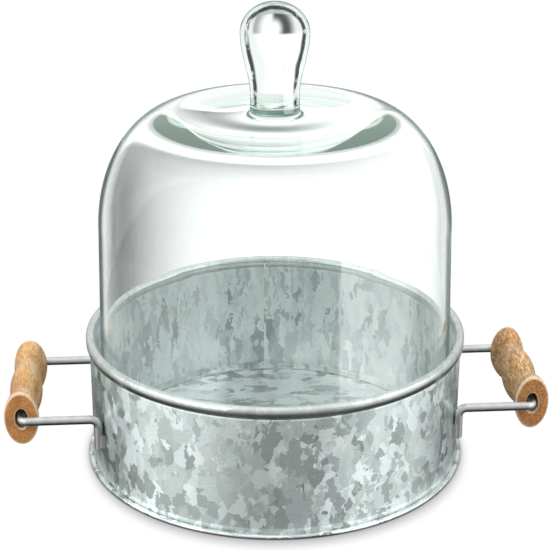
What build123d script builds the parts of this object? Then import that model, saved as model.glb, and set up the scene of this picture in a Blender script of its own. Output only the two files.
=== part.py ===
from build123d import *
import os
from math import sqrt

# A glass cheese dome standing in a round galvanised tray with two wood-gripped wire handles.
# Millimetres. Origin: centre of the tray's base on the table, +Z up, handles along X, front at -Y.

# Tray sheet metal
sheet = 0.6  # thickness of the galvanised sheet
tray_radius = 110.0  # outer face of the wall
tray_height = 79.0  # top of the rolled rim
wall_mid = tray_radius - sheet / 2  # mid-line of the wall sheet

# Base seam: the floor's edge folds up and over the wall's turned-out foot
seam_radius = 113.0  # outermost edge of the fold
fold_bend = 0.85  # mid-line radius of the fold
fold_centre = seam_radius - sheet / 2 - fold_bend
fold_lip = 110.9  # where the folded-over edge stops, just clear of the wall
foot_bend = 0.9  # bend that turns the wall outwards
foot_edge = 111.8  # edge of the turned-out foot, inside the fold
foot_step = 0.4  # the wall stands proud by this much just above the seam
foot_step_low = 3.6
foot_step_high = 5.2

# Floor: a raised flat panel inside a lower outer ring
panel_rise = 1.2  # panel above the ring
panel_radius = 106.2
ring_radius = 108.4  # where the step down from the panel ends

# Rolled rim: the sheet steps inwards, then curls over a wire
roll_width = 5.0
roll_bend = roll_width / 2 - sheet / 2  # mid-line radius of the curl
roll_outer = 111.9  # outer face of the roll
roll_centre = roll_outer - roll_width / 2
roll_top_bend = tray_height - roll_width / 2  # height of the upper bend's centre
roll_under_bend = 73.7  # height where the curl turns back under itself
rim_step_low = 70.6  # the inward step of the sheet starts here
rim_step_high = 73.8
rim_wire_radius = 1.7
curl_tuck_bend = roll_bend * 2 / 3  # tighter bend where the curl turns in under the roll
curl_tuck_turn = 80  # degrees it turns
curl_gap = 0.5  # the two ends of the curl don't quite meet
lap_width = 9.0  # the wall's ends overlap at the back
lap_clear = 1.0  # the lap stops this far short of the steps above and below it

# Handles
wire_radius = 2.5
handle_half_span = 41.0  # each leg's distance from the middle of the handle
handle_height = 40.3
handle_reach = 149.0  # centre line of the grip from the tray's axis
wire_bend = 4.5
leg_end = 21.5  # lower end of the legs, flat against the wall
touch_gap = 0.03  # kept between a leg and the wall, bridged by the welds
leg_reach = sqrt((tray_radius + wire_radius + touch_gap) ** 2 - handle_half_span**2)

# Welds: a fillet of metal along both sides of each leg
weld_radius = 3.6
weld_low = 23.0
weld_high = 31.0

# Wooden grips, oval: turned, then narrowed sideways
grip_half_length = 37.5
grip_oval = 0.6  # width divided by height
grip_lobe = 16.5  # half height of the end lobes
grip_lobe_start = 35.4
grip_waist = 12.7
grip_waist_at = 22.5
grip_belly = 15.8
grip_bore = 6.2  # half height of the bore
grip_edge = 1.4
bore_edge = 0.7
pick_margin = 0.1  # used when picking the end corners

# Glass dome
dome_clearance = 0.02  # above the floor panel
dome_floor = sheet + panel_rise + dome_clearance
glass_side = 3.2  # thickness of the side
dome_foot_radius = 105.3
dome_shoulder_radius = 101.8
shoulder_height = 143.0
shoulder_width = 46.7  # half axes of the outer shoulder's quarter ellipse
shoulder_rise = 68.2
inner_shoulder_width = 36.0  # the inside follows the outside until close to the top
inner_shoulder_rise = 61.5
seat_radius = 16.6  # the knob sits here
seat_height = 208.4

# Knob
knob_radius = 19.5
knob_widest = 254.8  # height of the widest place
knob_top = 272.0
neck_radius = 13.95
neck_height = 219.0  # the neck is straight from here down to the flare
flare_height = 213.4  # the foot of the knob flares out below this

os.makedirs("parts", exist_ok=True)


# Tray floor: one pressed disc, its edge folded over the wall's foot
with BuildPart() as tray_floor:
    with BuildSketch(Plane.XZ):
        with BuildLine() as floor_path:
            panel_mid = sheet / 2 + panel_rise
            Line((0, panel_mid), (panel_radius, panel_mid))
            Spline(
                (panel_radius, panel_mid),
                (ring_radius, sheet / 2),
                tangents=((1, 0), (1, 0)),
            )
            Line((ring_radius, sheet / 2), (fold_centre, sheet / 2))
            CenterArc((fold_centre, sheet / 2 + fold_bend), fold_bend, -90, 180)
            lip_height = sheet / 2 + 2 * fold_bend
            Line((fold_centre, lip_height), (fold_lip, lip_height))
        trace(floor_path.line, sheet)
        with Locations((-sheet, 0)):
            Rectangle(2 * sheet, 8 * panel_rise, mode=Mode.SUBTRACT)
    revolve(axis=Axis.Z)
tray_floor.part.label = "tray_floor"
export_step(tray_floor.part, "parts/tray_floor.step")


# Tray wall: one strip with its foot turned out and its rim curled, lapped at the back
with BuildPart() as tray_wall:
    with BuildSketch(Plane.XZ):
        with BuildLine() as wall_path:
            foot_height = sheet / 2 + fold_bend
            foot_mid = wall_mid + foot_step
            Line((foot_edge, foot_height), (foot_mid + foot_bend, foot_height))
            CenterArc(
                (foot_mid + foot_bend, foot_height + foot_bend), foot_bend, 270, -90
            )
            Line((foot_mid, foot_height + foot_bend), (foot_mid, foot_step_low))
            Spline(
                (foot_mid, foot_step_low),
                (wall_mid, foot_step_high),
                tangents=((0, 1), (0, 1)),
            )
            Line((wall_mid, foot_step_high), (wall_mid, rim_step_low))
            Spline(
                (wall_mid, rim_step_low),
                (roll_centre - roll_bend, rim_step_high),
                tangents=((0, 1), (0, 1)),
            )
            Line(
                (roll_centre - roll_bend, rim_step_high),
                (roll_centre - roll_bend, roll_top_bend),
            )
            CenterArc((roll_centre, roll_top_bend), roll_bend, 180, -180)
            Line(
                (roll_centre + roll_bend, roll_top_bend),
                (roll_centre + roll_bend, roll_under_bend),
            )
            CenterArc(
                (roll_centre + roll_bend - curl_tuck_bend, roll_under_bend),
                curl_tuck_bend,
                0,
                -curl_tuck_turn,
            )
        trace(wall_path.line, sheet)
    revolve(axis=Axis.Z)
    with BuildSketch(Plane.XY.offset(foot_step_high + lap_clear)):
        Circle(tray_radius + sheet)
        Circle(tray_radius - sheet / 4, mode=Mode.SUBTRACT)
        with Locations((0, tray_radius)):
            Rectangle(lap_width, 8 * sheet, mode=Mode.INTERSECT)
    extrude(amount=rim_step_low - foot_step_high - 2 * lap_clear)
    with Locations((curl_gap, roll_centre, roll_top_bend)):
        Box(curl_gap, 2 * roll_width, 2 * roll_width, mode=Mode.SUBTRACT)
tray_wall.part.label = "tray_wall"
export_step(tray_wall.part, "parts/tray_wall.step")


# Wire rolled into the rim
with BuildPart() as rim_wire:
    with BuildSketch(Plane.XZ):
        with Locations((roll_centre, roll_top_bend)):
            Circle(rim_wire_radius)
    revolve(axis=Axis.Z)
rim_wire.part.label = "rim_wire"
export_step(rim_wire.part, "parts/rim_wire.step")


# Handle wire: down each leg, out to the grip and straight through it
with BuildPart() as left_handle_wire:
    with BuildLine() as handle_path:
        FilletPolyline(
            (-leg_reach, -handle_half_span, leg_end),
            (-leg_reach, -handle_half_span, handle_height),
            (-handle_reach, -handle_half_span, handle_height),
            (-handle_reach, handle_half_span, handle_height),
            (-leg_reach, handle_half_span, handle_height),
            (-leg_reach, handle_half_span, leg_end),
            radius=wire_bend,
        )
    with BuildSketch(Plane(handle_path.line @ 0, z_dir=handle_path.line % 0)):
        Circle(wire_radius)
    sweep()
    cut_ends = left_handle_wire.faces().filter_by(Plane.XY).edges()
    chamfer(cut_ends, wire_radius / 5)
left_handle_wire.part.label = "left_handle_wire"
export_step(left_handle_wire.part, "parts/left_handle_wire.step")

with BuildPart() as right_handle_wire:
    mirror(left_handle_wire.part, about=Plane.YZ)
right_handle_wire.part.label = "right_handle_wire"
export_step(right_handle_wire.part, "parts/right_handle_wire.step")


# Welds: what is left of a round bead beside each leg
with BuildPart() as left_welds:
    touch = tray_radius / (tray_radius + wire_radius + touch_gap)
    weld_places = [
        (-leg_reach * touch, -handle_half_span * touch),
        (-leg_reach * touch, handle_half_span * touch),
    ]
    leg_places = [(-leg_reach, -handle_half_span), (-leg_reach, handle_half_span)]
    with BuildSketch(Plane.XY.offset(weld_low)):
        with Locations(weld_places):
            Circle(weld_radius)
        Circle(tray_radius + touch_gap, mode=Mode.SUBTRACT)
        with Locations(leg_places):
            Circle(wire_radius + touch_gap, mode=Mode.SUBTRACT)
    extrude(amount=weld_high - weld_low)
left_welds.part.label = "left_welds"
export_step(left_welds.part, "parts/left_welds.step")

with BuildPart() as right_welds:
    mirror(left_welds.part, about=Plane.YZ)
right_welds.part.label = "right_welds"
export_step(right_welds.part, "parts/right_welds.step")


# Grip blank: turned about Y at the origin, then narrowed sideways into an oval
with BuildPart() as grip_blank:
    with BuildSketch(Plane.XY) as grip_section:
        with BuildLine():
            Polyline(
                (grip_lobe, grip_lobe_start),
                (grip_lobe, grip_half_length),
                (grip_bore, grip_half_length),
                (grip_bore, -grip_half_length),
                (grip_lobe, -grip_half_length),
                (grip_lobe, -grip_lobe_start),
            )
            Spline(
                (grip_lobe, -grip_lobe_start),
                (grip_waist, -grip_waist_at),
                (grip_belly, 0),
                (grip_waist, grip_waist_at),
                (grip_lobe, grip_lobe_start),
                tangents=((0, 1), (0, 1)),
            )
        make_face()
        end_corners = grip_section.vertices().filter_by_position(
            Axis.X, grip_lobe - pick_margin, grip_lobe + pick_margin
        )
        outer_corners = end_corners.filter_by(
            lambda corner: abs(corner.Y) > grip_lobe_start + pick_margin
        )
        fillet(outer_corners, grip_edge)
        bore_corners = grip_section.vertices().group_by(Axis.X)[0]
        chamfer(bore_corners, bore_edge)
    revolve(axis=Axis.Y)
    scale(by=(grip_oval, 1, 1))

with BuildPart() as left_grip:
    with Locations((-handle_reach, 0, handle_height)):
        add(grip_blank.part)
left_grip.part.label = "left_grip"
export_step(left_grip.part, "parts/left_grip.step")

with BuildPart() as right_grip:
    with Locations((handle_reach, 0, handle_height)):
        add(grip_blank.part)
right_grip.part.label = "right_grip"
export_step(right_grip.part, "parts/right_grip.step")


# Glass dome: flared side, elliptical shoulder, thick top dished towards the knob
with BuildPart() as glass_dome:
    with BuildSketch(Plane.XZ):
        with BuildLine():
            foot_round = glass_side / 2
            foot_high = dome_floor + foot_round
            top_edge = dome_shoulder_radius - shoulder_width
            top_height = shoulder_height + shoulder_rise
            inner_foot = dome_foot_radius - glass_side
            inner_shoulder = dome_shoulder_radius - glass_side
            inner_edge = inner_shoulder - inner_shoulder_width
            inner_top = shoulder_height + inner_shoulder_rise
            CenterArc((dome_foot_radius - foot_round, foot_high), foot_round, 180, 180)
            Line(
                (dome_foot_radius, foot_high), (dome_shoulder_radius, shoulder_height)
            )
            EllipticalCenterArc(
                (top_edge, shoulder_height),
                shoulder_width,
                shoulder_rise,
                start_angle=0,
                arc_size=90,
            )
            Spline(
                (top_edge, top_height),
                (seat_radius, seat_height),
                tangents=((-1, 0), (-1, 0)),
            )
            Polyline(
                (seat_radius, seat_height),
                (0, seat_height),
                (0, inner_top),
                (inner_edge, inner_top),
            )
            EllipticalCenterArc(
                (inner_edge, shoulder_height),
                inner_shoulder_width,
                inner_shoulder_rise,
                start_angle=0,
                arc_size=90,
            )
            Line((inner_shoulder, shoulder_height), (inner_foot, foot_high))
        make_face()
    revolve(axis=Axis.Z)
glass_dome.part.label = "glass_dome"
export_step(glass_dome.part, "parts/glass_dome.step")


# Knob: a solid gather of glass fused on top of the dome
with BuildPart() as dome_knob:
    with BuildSketch(Plane.XZ):
        with BuildLine():
            crown_rise = knob_top - knob_widest
            Spline(
                (knob_radius, knob_widest),
                (knob_radius * sqrt(0.5), knob_widest + crown_rise * sqrt(0.5)),
                (0, knob_top),
                tangents=((0, 1), (-1, 0)),
            )
            Spline(
                (knob_radius, knob_widest),
                (neck_radius, neck_height),
                tangents=((0, -1), (0, -1)),
            )
            Line((neck_radius, neck_height), (neck_radius, flare_height))
            Spline(
                (neck_radius, flare_height),
                (seat_radius, seat_height),
                tangents=((0, -1), (1, -1)),
            )
            Polyline((seat_radius, seat_height), (0, seat_height), (0, knob_top))
        make_face()
    revolve(axis=Axis.Z)
dome_knob.part.label = "dome_knob"
export_step(dome_knob.part, "parts/dome_knob.step")
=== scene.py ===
"""Looks of the cheese dome: blown glass over a galvanised tray with wood-gripped wire handles."""

import math

import bmesh
import bpy
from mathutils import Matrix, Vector


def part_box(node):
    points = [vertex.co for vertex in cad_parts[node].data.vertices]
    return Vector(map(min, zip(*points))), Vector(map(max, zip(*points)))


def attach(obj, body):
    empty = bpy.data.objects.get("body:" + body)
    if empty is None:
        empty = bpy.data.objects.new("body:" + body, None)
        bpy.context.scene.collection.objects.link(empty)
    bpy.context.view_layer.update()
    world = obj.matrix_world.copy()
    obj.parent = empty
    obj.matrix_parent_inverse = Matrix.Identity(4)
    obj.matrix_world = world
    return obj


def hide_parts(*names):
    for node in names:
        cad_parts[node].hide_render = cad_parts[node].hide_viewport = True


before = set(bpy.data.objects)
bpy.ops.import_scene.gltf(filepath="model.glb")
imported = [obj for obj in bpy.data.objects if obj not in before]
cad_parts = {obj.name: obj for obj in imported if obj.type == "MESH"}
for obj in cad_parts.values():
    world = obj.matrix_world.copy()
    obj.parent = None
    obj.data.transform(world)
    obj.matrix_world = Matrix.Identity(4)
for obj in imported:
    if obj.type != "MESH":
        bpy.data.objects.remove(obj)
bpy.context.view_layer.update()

MM = 0.001

# Places taken from the frame, in metres
_, wall_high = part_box("tray_wall")
dome_low, dome_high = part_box("glass_dome")
knob_low, knob_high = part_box("dome_knob")
rim_step = wall_high.z - 7.0 * MM  # where the wall steps in under the rolled rim
wall_outside = wall_high.x - 1.9 * MM
wall_between = wall_outside - 0.3 * MM  # parts the wall's outer face from its inner one

# Glass dome profile, in metres
GLASS_SIDE = 3.2 * MM
SHOULDER_RADIUS = 101.8 * MM
SHOULDER_HEIGHT = 143.0 * MM
SHOULDER_WIDTH = 46.7 * MM
INNER_SHOULDER_WIDTH = 36.0 * MM
INNER_SHOULDER_RISE = 61.5 * MM
KNOB_WIDEST = 254.8 * MM
NECK_RADIUS = 13.95 * MM
NECK_HEIGHT = 219.0 * MM
FLARE_HEIGHT = 213.4 * MM
SEAT_RADIUS = 16.6 * MM
ON_AXIS = 0.0001 * MM  # a smaller radius counts as a point on the axis

# Optics; a ray's depth is its number of bounces so far
GLASS_IOR = 1.5
METAL_AFTER = 4.5  # deeper rays are taken to reach the tray's inside by way of other metal
PIPED_AFTER = 10.5  # deeper rays are taken to be caught inside the glass

# Brightness of the studio
BACKDROP = 1.02  # seen directly
CEILING = 0.72  # seen in metal
BEHIND_GLASS = 1.5  # factor on what is seen through the glass: the next four
OPEN_GROUND = 0.85  # straight behind the glass
CARD = 0.05  # the grey card at the left
SHADE = 0.30  # where there is no card
FLAG = 0.62  # the flags all round
CARD_FLATTENING = 0.7  # the card's falloff up and down, as a share of its sideways one
SWEEP_HALF = 6.0  # half the side of the floor, in metres

# Axes of the camera that is rendering
RIGHT = (1.0, 0.0, 0.0)
UP = (0.0, 1.0, 0.0)
AHEAD = (0.0, 0.0, 1.0)

# Camera
VIEW_TURN = math.radians(4.0)
VIEW_DISTANCE = 0.832
VIEW_HEIGHT = 0.442
VIEW_TILT = math.radians(21.72)
LENS = 99.8
SENSOR = 36.0


# ---------------------------------------------------------------- node helpers


def add(tree, kind, inputs=None, **settings):
    """Adds a shader node; an input may be a plain value or another node's output."""
    node = tree.nodes.new("ShaderNode" + kind)
    for key, value in settings.items():
        setattr(node, key, value)
    for key, value in (inputs or {}).items():
        if isinstance(value, bpy.types.NodeSocket):
            tree.links.new(value, node.inputs[key])
        else:
            node.inputs[key].default_value = value
    return node


def maths(tree, operation, *values):
    return add(tree, "Math", dict(enumerate(values)), operation=operation).outputs[0]


def vector_maths(tree, operation, *values):
    return add(tree, "VectorMath", dict(enumerate(values)), operation=operation).outputs[0]


def scaled(tree, vector, factor):
    return add(tree, "VectorMath", {0: vector, "Scale": factor}, operation="SCALE").outputs[0]


def dot(tree, first, second):
    node = add(tree, "VectorMath", {0: first, 1: second}, operation="DOT_PRODUCT")
    return node.outputs["Value"]


def length(tree, vector):
    return add(tree, "VectorMath", {0: vector}, operation="LENGTH").outputs["Value"]


def vector_of(tree, x, y, z):
    return add(tree, "CombineXYZ", {0: x, 1: y, 2: z}).outputs[0]


def mix_shaders(tree, factor, first, second):
    return add(tree, "MixShader", {0: factor, 1: first.outputs[0], 2: second.outputs[0]})


def blend_value(tree, factor, low, high):
    node = add(tree, "Mix", {0: factor, 2: low, 3: high}, data_type="FLOAT")
    return node.outputs[0]


def blend_colour(tree, factor, low, high, blend_type="MIX"):
    node = add(tree, "Mix", {0: factor, 6: low, 7: high}, data_type="RGBA", blend_type=blend_type)
    return node.outputs[2]


def ramp(tree, factor, stops):
    """stops: (position, grey or colour) pairs."""
    node = add(tree, "ValToRGB", {0: factor})
    elements = node.color_ramp.elements
    for _ in range(len(stops) - 2):
        elements.new(0.5)
    for element, (position, colour) in zip(elements, stops):
        element.position = position
        if isinstance(colour, (int, float)):
            colour = (colour, colour, colour)
        element.color = (*colour, 1.0)
    return node.outputs[0]


def smooth_step(tree, value, low, high):
    """0 below low, 1 above high; low may be the larger one."""
    node = add(
        tree,
        "MapRange",
        {"Value": value, "From Min": low, "From Max": high},
        interpolation_type="SMOOTHSTEP",
    )
    return node.outputs[0]


def noise(tree, vector, scale, detail=2.0, roughness=0.5):
    inputs = {"Vector": vector, "Scale": scale, "Detail": detail, "Roughness": roughness}
    return add(tree, "TexNoise", inputs)


def offset_noise(tree, vector, scale, size):
    """A random push of about half of size each way."""
    pushed = noise(tree, vector, scale, 2.0, 0.6).outputs["Color"]
    centred = vector_maths(tree, "SUBTRACT", pushed, (0.5, 0.5, 0.5))
    return scaled(tree, centred, size)


def in_plain_mirror(tree):
    """1 for a mirrored ray; a ray through glass counts as both kinds, so it gives 0."""
    path = add(tree, "LightPath").outputs
    return maths(tree, "SUBTRACT", path["Is Glossy Ray"], path["Is Transmission Ray"])


def object_place(tree):
    return add(tree, "TexCoord").outputs["Object"]


def new_material(name):
    material = bpy.data.materials.new(name)
    material.use_nodes = True
    material.node_tree.nodes.clear()
    return material, material.node_tree


def surface(tree, shader):
    add(tree, "OutputMaterial", {"Surface": shader})


def dress(node_name, material):
    """Gives a CAD node its material; its mesh stays as it is."""
    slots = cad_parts[node_name].data.materials
    for index in range(max(1, len(slots))):
        if index < len(slots):
            slots[index] = material
        else:
            slots.append(material)


# ---------------------------------------------------------------- galvanised sheet


def unrolled(tree):
    """The wall laid flat: (distance round from the front, height, 0), its height and its radius."""
    axes = add(tree, "SeparateXYZ", {0: object_place(tree)})
    forwards = maths(tree, "MULTIPLY", axes.outputs["Y"], -1.0)
    angle = maths(tree, "ARCTAN2", axes.outputs["X"], forwards)
    radius = length(tree, vector_of(tree, axes.outputs["X"], axes.outputs["Y"], 0.0))
    round_way = maths(tree, "MULTIPLY", angle, wall_outside)
    flat = vector_of(tree, round_way, axes.outputs["Z"], 0.0)
    return flat, axes.outputs["Z"], radius


def crystals(tree, place, scale, metric="EUCLIDEAN"):
    """One layer of zinc crystals: three random values, each constant across a crystal."""
    cells = add(
        tree, "TexVoronoi", {"Vector": place, "Scale": scale, "Randomness": 1.0}, distance=metric
    )
    return add(tree, "SeparateColor", {0: cells.outputs["Color"]}).outputs, cells.outputs["Color"]


def spangle(tree, flat, stretch):
    """Overlapping crystals of three sizes: their tone, colour cast, tilt and inner grain."""
    place = vector_maths(tree, "ADD", flat, offset_noise(tree, flat, 130.0, 5.5 * MM))
    place = vector_maths(tree, "ADD", place, offset_noise(tree, flat, 520.0, 2.2 * MM))
    place = vector_maths(tree, "MULTIPLY", place, stretch)
    _, large_all = crystals(tree, place, 78.0)
    medium, medium_all = crystals(tree, place, 140.0)
    small, small_all = crystals(tree, place, 270.0, "MANHATTAN")
    patchy = noise(tree, flat, 14.0, 1.0).outputs["Fac"]
    medium_shown = maths(tree, "GREATER_THAN", medium[1], maths(tree, "ADD", patchy, -0.06))
    small_shown = maths(tree, "GREATER_THAN", small[1], maths(tree, "ADD", patchy, 0.17))
    together = blend_colour(tree, medium_shown, large_all, medium_all)
    together = blend_colour(tree, small_shown, together, small_all)
    values = add(tree, "SeparateColor", {0: together}).outputs
    turned = add(
        tree, "VectorRotate", {"Vector": flat, "Angle": maths(tree, "MULTIPLY", values[2], 3.1)},
        rotation_type="Z_AXIS",
    ).outputs[0]
    streaks = noise(tree, vector_maths(tree, "MULTIPLY", turned, (1.0, 0.14, 1.0)), 900.0, 2.0, 0.6)
    tilt = vector_maths(tree, "SUBTRACT", together, (0.5, 0.5, 0.5))
    return values[0], values[2], tilt, streaks.outputs["Fac"]


def zinc_colour(tree, tone, cast, streaks, inside, rolled):
    """Grey with a green cast outside, paler and bluer inside, even and darker on the rolled rim."""
    outer = ramp(tree, tone, [
        (0.0, (0.42, 0.47, 0.465)),
        (0.25, (0.60, 0.665, 0.655)),
        (0.6, (0.80, 0.875, 0.86)),
        (1.0, (0.93, 0.99, 0.97)),
    ])
    inner = ramp(tree, tone, [
        (0.0, (0.38, 0.405, 0.42)),
        (0.25, (0.66, 0.69, 0.705)),
        (0.6, (0.90, 0.935, 0.95)),
        (1.0, (0.99, 1.0, 1.0)),
    ])
    colour = blend_colour(tree, inside, outer, inner)
    cool = blend_colour(tree, cast, (0.97, 1.0, 0.96, 1.0), (0.97, 0.99, 1.02, 1.0))
    colour = blend_colour(tree, 1.0, colour, cool, "MULTIPLY")
    colour = blend_colour(tree, maths(tree, "MULTIPLY", rolled, 0.8), colour, (0.62, 0.66, 0.64, 1.0))
    brightness = maths(tree, "MULTIPLY_ADD", streaks, 0.34, 0.83)
    grey = add(tree, "CombineColor", {0: brightness, 1: brightness, 2: brightness}).outputs[0]
    return blend_colour(tree, 1.0, colour, grey, "MULTIPLY")


def rim_droop(tree, height, rolled):
    """A downward push (negative) on the normal over the rim's lower half: the roll looks rounder."""
    low_on_roll = smooth_step(tree, height, wall_high.z - 2.2 * MM, wall_high.z - 5.2 * MM)
    return maths(tree, "MULTIPLY", maths(tree, "MULTIPLY", low_on_roll, rolled), -0.6)


def zinc_normal(tree, tilt, streaks, rolled, droop):
    """Each crystal faces its own way, with its grain as fine ridges."""
    normal = add(tree, "NewGeometry").outputs["Normal"]
    tilt_size = blend_value(tree, rolled, 0.17, 0.015)
    leaning = vector_maths(tree, "ADD", normal, scaled(tree, tilt, tilt_size))
    leaning = vector_maths(tree, "ADD", leaning, vector_of(tree, 0.0, 0.0, droop))
    leaning = vector_maths(tree, "NORMALIZE", leaning)
    return add(
        tree, "Bump",
        {"Strength": 0.14, "Distance": 0.4 * MM, "Height": streaks, "Normal": leaning},
    ).outputs[0]


def inner_glow(tree, metal, colour, inside):
    """Painted light: an emission glow on the tray's inside where one part of it is seen mirrored in
    another.
    """
    depth = add(tree, "LightPath").outputs["Ray Depth"]
    by_way_of_metal = maths(tree, "GREATER_THAN", depth, METAL_AFTER)
    mirrored = maths(tree, "MAXIMUM", in_plain_mirror(tree), by_way_of_metal)
    lit = maths(tree, "MULTIPLY", maths(tree, "MULTIPLY", mirrored, inside), 0.5)
    glow = add(tree, "Emission", {"Color": colour, "Strength": 0.8})
    return mix_shaders(tree, lit, metal, glow)


def galvanised(name, on_wall):
    """Hot-dipped sheet; the crystals are drawn out upwards on the wall and across on the floor."""
    material, tree = new_material(name)
    if on_wall:
        flat, height, radius = unrolled(tree)
        inside = maths(tree, "LESS_THAN", radius, wall_between)
        flat = vector_maths(tree, "ADD", flat, vector_of(tree, 0.0, 0.0, inside))
        stretch = blend_colour(tree, inside, (1.0, 0.6, 1.0, 1.0), (1.15, 0.38, 1.0, 1.0))
        rolled = smooth_step(tree, height, rim_step - 1.0 * MM, rim_step + 0.5 * MM)
        droop = rim_droop(tree, height, rolled)
    else:
        flat = object_place(tree)
        inside = 1.0
        stretch = (0.42, 1.0, 1.0)
        rolled = 0.0
        droop = 0.0
    tone, cast, tilt, streaks = spangle(tree, flat, stretch)
    colour = zinc_colour(tree, tone, cast, streaks, inside, rolled)
    rough = blend_value(tree, tone, 0.28, 0.40)
    metal = add(tree, "BsdfPrincipled", {
        "Base Color": colour,
        "Metallic": 1.0,
        "Roughness": blend_value(tree, rolled, rough, 0.27),
        "Normal": zinc_normal(tree, tilt, streaks, rolled, droop),
    })
    surface(tree, inner_glow(tree, metal, colour, inside).outputs[0])
    material.cycles.emission_sampling = "NONE"
    return material


# ---------------------------------------------------------------- wire


def wire_steel():
    material, tree = new_material("satin_wire")
    place = object_place(tree)
    haze = noise(tree, place, 160.0, 3.0).outputs["Fac"]
    fine = noise(tree, place, 1800.0, 1.0).outputs["Fac"]
    colour = ramp(tree, haze, [(0.3, (0.54, 0.56, 0.545)), (0.7, (0.68, 0.70, 0.685))])
    rough = maths(tree, "MULTIPLY_ADD", haze, 0.12, 0.20)
    bumped = add(tree, "Bump", {"Strength": 0.12, "Distance": 0.2 * MM, "Height": fine})
    # Painted shade: the wire is darker where its surface faces down
    upright = add(tree, "SeparateXYZ", {0: add(tree, "NewGeometry").outputs["Normal"]}).outputs["Z"]
    painted_underside_shade = ramp(tree, maths(tree, "MULTIPLY_ADD", upright, 0.5, 0.5), [
        (0.1, 0.28), (0.4, 0.45), (0.6, 0.85), (0.8, 1.0),
    ])
    colour = blend_colour(tree, 1.0, colour, painted_underside_shade, "MULTIPLY")
    metal = add(tree, "BsdfPrincipled", {
        "Base Color": colour, "Metallic": 1.0, "Roughness": rough, "Normal": bumped.outputs[0],
    })
    surface(tree, metal.outputs[0])
    return material


# ---------------------------------------------------------------- wood


def wood_grain(tree, place):
    """Broad bands, fine streaks and pores, all drawn out along Y."""
    along = vector_maths(tree, "MULTIPLY", place, (1.0, 0.14, 1.0))
    short = vector_maths(tree, "MULTIPLY", place, (1.0, 0.3, 1.0))
    broad = noise(tree, along, 150.0, 3.0, 0.55).outputs["Fac"]
    streaks = noise(tree, along, 1000.0, 3.0, 0.7).outputs["Fac"]
    pores = noise(tree, short, 1500.0, 1.0, 0.5).outputs["Fac"]
    return broad, streaks, pores


def wood_colour(tree, broad, streaks, pores, ending, fleck):
    side = ramp(tree, broad, [
        (0.28, (0.50, 0.225, 0.065)),
        (0.5, (0.73, 0.41, 0.14)),
        (0.72, (0.88, 0.59, 0.28)),
    ])
    end_grain = ramp(tree, broad, [(0.3, (0.42, 0.165, 0.035)), (0.7, (0.62, 0.285, 0.075))])
    colour = blend_colour(tree, ending, side, end_grain)
    dark = maths(tree, "MULTIPLY", smooth_step(tree, streaks, 0.60, 0.40), fleck)
    colour = blend_colour(tree, dark, colour, (0.19, 0.085, 0.035, 1.0))
    spots = maths(tree, "MULTIPLY", smooth_step(tree, pores, 0.64, 0.72), fleck)
    return blend_colour(tree, spots, colour, (0.12, 0.05, 0.02, 1.0))


def painted_edge_highlight(tree, axes, out_along, half, streaks):
    """Painted highlight: pale lines along the grip's outer edge and the edge of its bore, at both
    ends.
    """
    sideways = maths(tree, "DIVIDE", axes["X"], half.x)
    upright = maths(tree, "DIVIDE", axes["Z"], half.z)
    reach = length(tree, vector_of(tree, sideways, upright, 0.0))
    near_end = smooth_step(tree, out_along, half.y - 2.6 * MM, half.y - 1.2 * MM)
    outer_edge = maths(tree, "MULTIPLY", smooth_step(tree, reach, 0.88, 0.97), near_end)
    bore_edge = maths(tree, "MULTIPLY", smooth_step(tree, reach, 0.45, 0.40), near_end)
    edge_highlight = maths(tree, "MAXIMUM", outer_edge, bore_edge)
    return maths(tree, "MULTIPLY", edge_highlight, maths(tree, "MULTIPLY_ADD", streaks, 0.9, 0.25))


def grip_wood(name, node_name, seed, fleck):
    """Orange-tan hardwood with its grain along the grip, darker end grain and pale edges that are a
    painted highlight.
    """
    material, tree = new_material(name)
    low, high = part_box(node_name)
    half = (high - low) / 2
    place = object_place(tree)
    local = vector_maths(tree, "SUBTRACT", place, tuple((low + high) / 2))
    axes = add(tree, "SeparateXYZ", {0: local}).outputs
    out_along = maths(tree, "ABSOLUTE", axes["Y"])
    ending = smooth_step(tree, out_along, half.y - 0.5 * MM, half.y - 0.1 * MM)
    seeded = vector_maths(tree, "ADD", place, (seed, seed, seed))
    broad, streaks, pores = wood_grain(tree, seeded)
    colour = wood_colour(tree, broad, streaks, pores, ending, fleck)
    # Painted highlight: the grip's edges are blended towards pale tan
    edge_highlight = painted_edge_highlight(tree, axes, out_along, half, streaks)
    colour = blend_colour(tree, edge_highlight, colour, (0.83, 0.64, 0.45, 1.0))
    # Painted reflection: seen in a mirror, the grip shows pale grey instead of its wood colour
    pale = maths(tree, "MULTIPLY", in_plain_mirror(tree), 0.8)
    colour = blend_colour(tree, pale, colour, (0.80, 0.84, 0.83, 1.0))
    bumped = add(tree, "Bump", {"Strength": 0.3, "Distance": 0.3 * MM, "Height": streaks})
    wood = add(tree, "BsdfPrincipled", {
        "Base Color": colour, "Roughness": 0.42, "Normal": bumped.outputs[0],
        "Coat Weight": 0.2, "Coat Roughness": 0.25,
    })
    surface(tree, wood.outputs[0])
    return material


# ---------------------------------------------------------------- glass


def painted_reflection_in_glass(tree, geometry, normal, seen):
    """Painted reflection: an emission on the outside of the glass where a strong soft box at the right
    and a weak one at the left would be mirrored.
    """
    towards = scaled(tree, geometry["Incoming"], -1.0)
    bounced = vector_maths(tree, "REFLECT", towards, normal)
    front_turn, rise = turn_and_rise(tree, bounced)
    boxes = angle_ramp(tree, front_turn, [
        (-180, 0.2), (-96, 0.2), (-84, 0.8), (-42, 1.2), (-38, 0.2), (36, 0.2), (38, 5.6),
        (78, 4.4), (100, 0.2), (180, 0.2),
    ])
    light = blend_value(tree, smooth_step(tree, rise, -4.0, 12.0), boxes, 0.5)
    share = add(tree, "Fresnel", {"IOR": GLASS_IOR, "Normal": normal}).outputs[0]
    return maths(tree, "MULTIPLY", maths(tree, "MULTIPLY", light, share), seen)


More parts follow.
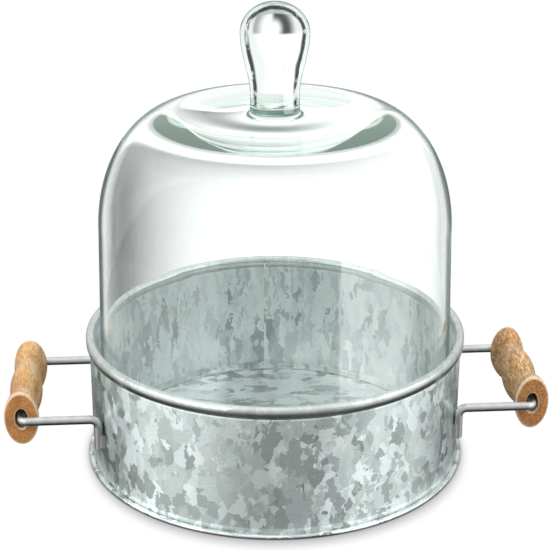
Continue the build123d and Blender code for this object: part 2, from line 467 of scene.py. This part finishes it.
def painted_knob_shade(tree, facing):
    """Painted shade: the broken dark line that runs inside the knob's outline."""
    place = object_place(tree)
    height = add(tree, "SeparateXYZ", {0: place}).outputs["Z"]
    on_knob = smooth_step(tree, height, knob_low.z + 5.0 * MM, knob_low.z + 8.0 * MM)
    wander = noise(tree, place, 55.0, 3.0, 0.6).outputs["Fac"]
    moved = maths(tree, "MULTIPLY_ADD", wander, 0.16, facing)
    band = maths(
        tree, "MULTIPLY", smooth_step(tree, moved, 0.53, 0.58), smooth_step(tree, moved, 0.75, 0.68)
    )
    broken = smooth_step(tree, noise(tree, place, 140.0, 2.0).outputs["Fac"], 0.30, 0.50)
    return maths(tree, "MULTIPLY", maths(tree, "MULTIPLY", band, broken), on_knob)


def glass_colour(tree, facing, seen):
    """Nearly white, with painted shade: green-grey where the glass is seen edge on, dark along the
    knob's line.
    """
    # Painted shade: green-grey where the glass is seen edge on
    edge = maths(tree, "MULTIPLY", smooth_step(tree, facing, 0.27, 0.13), seen)
    # Painted shade: dark along the knob's line
    line = maths(tree, "MULTIPLY", painted_knob_shade(tree, facing), seen)
    colour = blend_colour(tree, edge, (0.985, 0.995, 0.99, 1.0), (0.22, 0.28, 0.26, 1.0))
    return blend_colour(tree, line, colour, (0.07, 0.08, 0.075, 1.0))


def clear_glass():
    """Clear glass with a faint green body; its green-grey outlines are painted shade.

    Light caught inside the wall doesn't get out within the bounces allowed, so it ends as a
    painted green-grey glow: an emission.
    """
    material, tree = new_material("blown_glass")
    slow = vector_maths(tree, "MULTIPLY", object_place(tree), (1.0, 1.0, 0.4))
    ripple = noise(tree, slow, 14.0, 1.0).outputs["Fac"]
    bumped = add(tree, "Bump", {"Strength": 0.12, "Distance": 2.0 * MM, "Height": ripple})
    geometry = add(tree, "NewGeometry").outputs
    facing = maths(tree, "ABSOLUTE", dot(tree, geometry["Incoming"], geometry["Normal"]))
    path = add(tree, "LightPath").outputs
    seen = maths(tree, "SUBTRACT", path["Is Camera Ray"], geometry["Backfacing"])
    seen = maths(tree, "MAXIMUM", seen, 0.0)
    colour = glass_colour(tree, facing, seen)
    polished = {"Color": colour, "Roughness": 0.0, "IOR": GLASS_IOR, "Normal": bumped.outputs[0]}
    glass = add(tree, "BsdfGlass", polished)
    clear = add(tree, "BsdfRefraction", polished)
    first = mix_shaders(tree, seen, glass, clear)
    passing = add(tree, "BsdfTransparent", {"Color": (0.93, 0.95, 0.94, 1.0)})
    lets_through = maths(tree, "MAXIMUM", path["Is Shadow Ray"], path["Is Diffuse Ray"])
    shader = mix_shaders(tree, lets_through, first, passing)
    tint = add(tree, "VolumeAbsorption", {"Color": (0.84, 0.97, 0.90, 1.0), "Density": 8.0})
    # Painted light: an emission glow for rays caught in the glass
    piped = add(tree, "Emission", {"Color": (0.27, 0.30, 0.285, 1.0), "Strength": 1.0})
    trapped = maths(tree, "GREATER_THAN", path["Ray Depth"], PIPED_AFTER)
    shader = mix_shaders(tree, trapped, shader, piped)
    # Painted reflection: the glass glows where the soft boxes would be mirrored in it
    painted_shine = painted_reflection_in_glass(tree, geometry, bumped.outputs[0], seen)
    boxes = add(tree, "Emission", {"Strength": painted_shine})
    shader = add(tree, "AddShader", {0: shader.outputs[0], 1: boxes.outputs[0]})
    add(tree, "OutputMaterial", {"Surface": shader.outputs[0], "Volume": tint.outputs[0]})
    material.cycles.emission_sampling = "NONE"
    return material


def ellipse_points(centre_r, centre_z, width, rise, start, end, count):
    """Points of an upright ellipse from angle start to end, in degrees."""
    points = []
    for step in range(count + 1):
        angle = math.radians(start + (end - start) * step / count)
        points.append((centre_r + width * math.cos(angle), centre_z + rise * math.sin(angle)))
    return points


def ease_points(start, end, count, turned=False):
    """An S-shaped run between two points; turned swaps which coordinate eases."""
    points = []
    for step in range(count + 1):
        share = step / count
        eased = (1 - math.cos(math.pi * share)) / 2
        r_share, z_share = (share, eased) if turned else (eased, share)
        points.append((
            start[0] + (end[0] - start[0]) * r_share,
            start[1] + (end[1] - start[1]) * z_share,
        ))
    return points


def line_points(start, end, count):
    points = []
    for step in range(count + 1):
        share = step / count
        points.append((
            start[0] + (end[0] - start[0]) * share,
            start[1] + (end[1] - start[1]) * share,
        ))
    return points


def knob_outline():
    widest = knob_high.x
    neck = (NECK_RADIUS, NECK_HEIGHT)
    foot_width = SEAT_RADIUS - NECK_RADIUS
    foot_rise = FLARE_HEIGHT - knob_low.z
    points = ellipse_points(0.0, KNOB_WIDEST, widest, knob_high.z - KNOB_WIDEST, 90, 0, 24)
    points += ease_points((widest, KNOB_WIDEST), neck, 24)[1:]
    points += ellipse_points(SEAT_RADIUS, FLARE_HEIGHT, foot_width, foot_rise, 180, 270, 10)
    return points


def outside_outline():
    top_edge = SHOULDER_RADIUS - SHOULDER_WIDTH
    rise = dome_high.z - SHOULDER_HEIGHT
    foot = (dome_high.x, dome_low.z + GLASS_SIDE / 2)
    points = ease_points((SEAT_RADIUS, knob_low.z), (top_edge, dome_high.z), 20, turned=True)
    points += ellipse_points(top_edge, SHOULDER_HEIGHT, SHOULDER_WIDTH, rise, 90, 0, 40)[1:]
    points += line_points((SHOULDER_RADIUS, SHOULDER_HEIGHT), foot, 20)[1:]
    return points


def inside_outline():
    shoulder = SHOULDER_RADIUS - GLASS_SIDE
    edge = shoulder - INNER_SHOULDER_WIDTH
    foot = (dome_high.x - GLASS_SIDE, dome_low.z + GLASS_SIDE / 2)
    ceiling = SHOULDER_HEIGHT + INNER_SHOULDER_RISE
    points = line_points(foot, (shoulder, SHOULDER_HEIGHT), 20)
    points += ellipse_points(
        edge, SHOULDER_HEIGHT, INNER_SHOULDER_WIDTH, INNER_SHOULDER_RISE, 0, 90, 40
    )[1:]
    points += line_points((edge, ceiling), (0.0, ceiling), 10)[1:]
    return points


def dome_outline():
    """(radius, height) from the knob's top down the outside and back up the inside."""
    foot_round = GLASS_SIDE / 2
    foot = ellipse_points(
        dome_high.x - foot_round, dome_low.z + foot_round, foot_round, foot_round, 0, -180, 12
    )
    return knob_outline() + outside_outline()[1:] + foot[1:] + inside_outline()[1:]


def lathe(name, outline, segments):
    """A closed body of revolution about Z from an outline that starts and ends on the axis."""
    mesh = bpy.data.meshes.new(name)
    build = bmesh.new()
    rings = []
    for radius, height in outline:
        if radius < ON_AXIS:
            rings.append([build.verts.new((0.0, 0.0, height))])
            continue
        ring = []
        for index in range(segments):
            angle = 2 * math.pi * index / segments
            corner = (radius * math.cos(angle), radius * math.sin(angle), height)
            ring.append(build.verts.new(corner))
        rings.append(ring)
    for upper, lower in zip(rings, rings[1:]):
        for index in range(segments):
            following = (index + 1) % segments
            corners = [upper[index % len(upper)], lower[index % len(lower)]]
            corners += [lower[following % len(lower)], upper[following % len(upper)]]
            build.faces.new(list(dict.fromkeys(corners)))
    build.normal_update()
    for face in build.faces:
        face.smooth = True
    build.to_mesh(mesh)
    build.free()
    piece = bpy.data.objects.new(name, mesh)
    bpy.context.scene.collection.objects.link(piece)
    return piece


def build_glass():
    piece = lathe("dome_glass", dome_outline(), 256)
    piece.data.materials.append(clear_glass())
    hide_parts("glass_dome", "dome_knob")
    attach(piece, "dome")


# ---------------------------------------------------------------- studio


def angle_ramp(tree, degrees, stops):
    """A grey for each angle; stops run from low to high, in degrees."""
    low, high = stops[0][0], stops[-1][0]
    share = add(tree, "MapRange", {"Value": degrees, "From Min": low, "From Max": high}).outputs[0]
    placed = [((angle - low) / (high - low), grey) for angle, grey in stops]
    return ramp(tree, share, placed)


def view_axis(tree, axis):
    """RIGHT, UP or AHEAD of the camera that is rendering, as a direction in the room."""
    return add(
        tree, "VectorTransform", {0: axis},
        vector_type="VECTOR", convert_from="CAMERA", convert_to="WORLD",
    ).outputs[0]


def turn_and_rise(tree, direction):
    """In degrees: how far a direction turns from the tray's front, right positive, and its rise."""
    axes = add(tree, "SeparateXYZ", {0: direction}).outputs
    forwards = maths(tree, "MULTIPLY", axes["Y"], -1.0)
    turn = maths(tree, "ARCTAN2", axes["X"], forwards)
    rise = maths(tree, "ARCSINE", axes["Z"])
    return maths(tree, "DEGREES", turn), maths(tree, "DEGREES", rise)


def turn_from_view(tree, direction):
    """In degrees, right positive: how far a direction turns from where the camera looks."""
    turns = []
    for arrow in (direction, view_axis(tree, AHEAD)):
        axes = add(tree, "SeparateXYZ", {0: arrow}).outputs
        turns.append(maths(tree, "ARCTAN2", axes["X"], axes["Y"]))
    apart = maths(tree, "SUBTRACT", *turns)
    return maths(tree, "DEGREES", maths(tree, "WRAP", apart, math.pi, -math.pi))


def seen_through_glass(tree, direction, back_turn, near):
    """Bright straight behind the glass, flags round it, and near it a grey card towards the left."""
    along = maths(tree, "MINIMUM", dot(tree, direction, view_axis(tree, AHEAD)), 1.0)
    bend = maths(tree, "DEGREES", maths(tree, "ARCCOSINE", along))
    beside = dot(tree, direction, view_axis(tree, RIGHT))
    above = dot(tree, direction, view_axis(tree, UP))
    flattened = maths(tree, "MULTIPLY", above, CARD_FLATTENING)
    spread = maths(tree, "MINIMUM", length(tree, vector_of(tree, beside, flattened, 0.0)), 1.0)
    oval = maths(tree, "DEGREES", maths(tree, "ARCSINE", spread))
    card = blend_value(tree, smooth_step(tree, oval, 1.0, 11.0), OPEN_GROUND, CARD)
    card = blend_value(tree, smooth_step(tree, oval, 14.0, 28.0), card, FLAG)
    no_card = blend_value(tree, smooth_step(tree, oval, 8.0, 24.0), OPEN_GROUND, SHADE)
    no_card = blend_value(tree, smooth_step(tree, oval, 25.0, 31.0), no_card, FLAG)
    close_by = blend_value(tree, smooth_step(tree, back_turn, 8.0, -1.0), no_card, card)
    far_off = blend_value(tree, smooth_step(tree, bend, 13.0, 28.0), 1.0, FLAG)
    light = blend_value(tree, near, far_off, close_by)
    return blend_value(tree, smooth_step(tree, bend, 70.0, 80.0), light, 1.0)


def seen_in_metal(tree, front_turn, rise):
    """Two big soft boxes in front, a dark gap between them, pale ceiling and dark table."""
    sides = angle_ramp(tree, front_turn, [
        (-180, 0.60), (-118, 0.60), (-95, 1.12), (-39, 1.12), (-33, 0.56), (36, 0.56), (42, 1.12),
        (92, 1.12), (112, 0.58), (180, 0.60),
    ])
    height = angle_ramp(tree, rise, [
        (-90, 0.10), (-60, 0.14), (-36, 0.55), (-24, 1.0), (0, 1.0), (12, 1.5), (40, 1.55), (60, 1.7),
        (90, 1.7),
    ])
    ceiling = smooth_step(tree, rise, 38.0, 62.0)
    turned_away = smooth_step(tree, maths(tree, "ABSOLUTE", front_turn), 95.0, 130.0)
    table_behind = maths(tree, "MULTIPLY", turned_away, smooth_step(tree, rise, -6.0, -26.0))
    light = maths(tree, "MULTIPLY", blend_value(tree, ceiling, sides, CEILING), height)
    return maths(tree, "MULTIPLY", light, blend_value(tree, table_behind, 1.0, 0.3))


def seen_by_matt(tree, rise):
    """Soft light from above, less from the table."""
    return angle_ramp(tree, rise, [(-90, 0.32), (-10, 0.5), (30, 1.15), (90, 1.5)])


def studio_light(tree, direction, seen_direct, near):
    """One brightness for each direction and kind of ray, shared by the backdrop and the floor.

    A ray through glass counts as glossy too, so the light through glass is chosen last. Light that
    left the tray forwards through the glass still sees the soft boxes in front.
    """
    front_turn, rise = turn_and_rise(tree, direction)
    back_turn = turn_from_view(tree, direction)
    path = add(tree, "LightPath").outputs
    in_front = smooth_step(tree, maths(tree, "ABSOLUTE", back_turn), 75.0, 95.0)
    in_metal = seen_in_metal(tree, front_turn, rise)
    behind = seen_through_glass(tree, direction, back_turn, near)
    behind = maths(tree, "MULTIPLY", behind, BEHIND_GLASS)
    through = blend_value(tree, in_front, behind, in_metal)
    light = blend_value(tree, path["Is Diffuse Ray"], seen_direct, seen_by_matt(tree, rise))
    light = blend_value(tree, path["Is Glossy Ray"], light, in_metal)
    return blend_value(tree, path["Is Transmission Ray"], light, through)


def make_floor():
    """A pale floor with a soft shadow only where something almost touches it."""
    material, tree = new_material("pale_sweep")
    geometry = add(tree, "NewGeometry").outputs
    away = length(tree, geometry["Position"])
    depth = add(tree, "SeparateXYZ", {0: geometry["Position"]}).outputs["Y"]
    in_line = maths(tree, "DIVIDE", maths(tree, "ABSOLUTE", depth), away)
    shadow_width = maths(tree, "MULTIPLY_ADD", in_line, 11.0 * MM, 5.0 * MM)
    closeness = add(tree, "AmbientOcclusion", {"Distance": shadow_width}, samples=16).outputs["AO"]
    shadow = maths(tree, "POWER", closeness, 1.5)
    speckle = noise(tree, object_place(tree), 60.0, 2.0).outputs["Fac"]
    paper = maths(tree, "MULTIPLY_ADD", speckle, 0.02, 1.0)
    seen_direct = maths(tree, "MULTIPLY", shadow, paper)
    near = smooth_step(tree, away, 1.05, 0.80)
    light = studio_light(tree, scaled(tree, geometry["Incoming"], -1.0), seen_direct, near)
    surface(tree, add(tree, "Emission", {"Strength": light}).outputs[0])
    material.cycles.emission_sampling = "NONE"
    mesh = bpy.data.meshes.new("sweep")
    corners = [(SWEEP_HALF * x, SWEEP_HALF * y, 0) for x, y in ((-1, -1), (1, -1), (1, 1), (-1, 1))]
    mesh.from_pydata(corners, [], [(0, 1, 2, 3)])
    mesh.materials.append(material)
    sweep = bpy.data.objects.new("sweep", mesh)
    sweep.location.z = -0.2 * MM
    bpy.context.scene.collection.objects.link(sweep)


def make_world():
    world = bpy.data.worlds.new("studio")
    world.use_nodes = True
    tree = world.node_tree
    tree.nodes.clear()
    direction = add(tree, "TexCoord").outputs["Generated"]
    light = studio_light(tree, direction, BACKDROP, 0.0)
    backdrop = add(tree, "Background", {"Color": (1.0, 1.0, 1.0, 1.0), "Strength": light})
    add(tree, "OutputWorld", {"Surface": backdrop.outputs[0]})
    bpy.context.scene.world = world


def soft_box(name, place, power):
    light = bpy.data.lights.new(name, "AREA")
    light.shape = "RECTANGLE"
    light.size = 0.6
    light.size_y = 0.8
    light.energy = power
    lamp = bpy.data.objects.new(name, light)
    lamp.location = place
    tray_middle = Vector((0.0, 0.0, 0.1))
    pointing = tray_middle - Vector(place)
    lamp.rotation_euler = pointing.to_track_quat("-Z", "Y").to_euler()
    lamp.visible_glossy = False
    lamp.visible_transmission = False
    bpy.context.scene.collection.objects.link(lamp)


def make_camera():
    camera = bpy.data.cameras.new("camera")
    camera.lens = LENS
    camera.sensor_width = SENSOR
    eye = bpy.data.objects.new("camera", camera)
    across = -VIEW_DISTANCE * math.sin(VIEW_TURN)
    back = -VIEW_DISTANCE * math.cos(VIEW_TURN)
    eye.location = (across, back, VIEW_HEIGHT)
    eye.rotation_euler = (math.pi / 2 - VIEW_TILT, 0.0, -VIEW_TURN)
    bpy.context.scene.collection.objects.link(eye)
    bpy.context.scene.camera = eye


def set_light_paths():
    scene = bpy.context.scene
    scene.view_settings.view_transform = "Standard"
    scene.cycles.max_bounces = 24
    scene.cycles.transmission_bounces = 16
    scene.cycles.glossy_bounces = 14
    scene.cycles.transparent_max_bounces = 16


dress("tray_wall", galvanised("galvanised_wall", True))
dress("tray_floor", galvanised("galvanised_floor", False))
wire_metal = wire_steel()
for part in ("rim_wire", "left_handle_wire", "right_handle_wire", "left_welds", "right_welds"):
    dress(part, wire_metal)
dress("left_grip", grip_wood("left_grip_wood", "left_grip", 0.0, 0.45))
dress("right_grip", grip_wood("right_grip_wood", "right_grip", 3.7, 0.8))
build_glass()

make_floor()
make_world()
soft_box("left_box", (-0.9, -0.7, 0.9), 5.0)
soft_box("right_box", (0.9, -0.7, 0.9), 3.5)
make_camera()
set_light_paths()
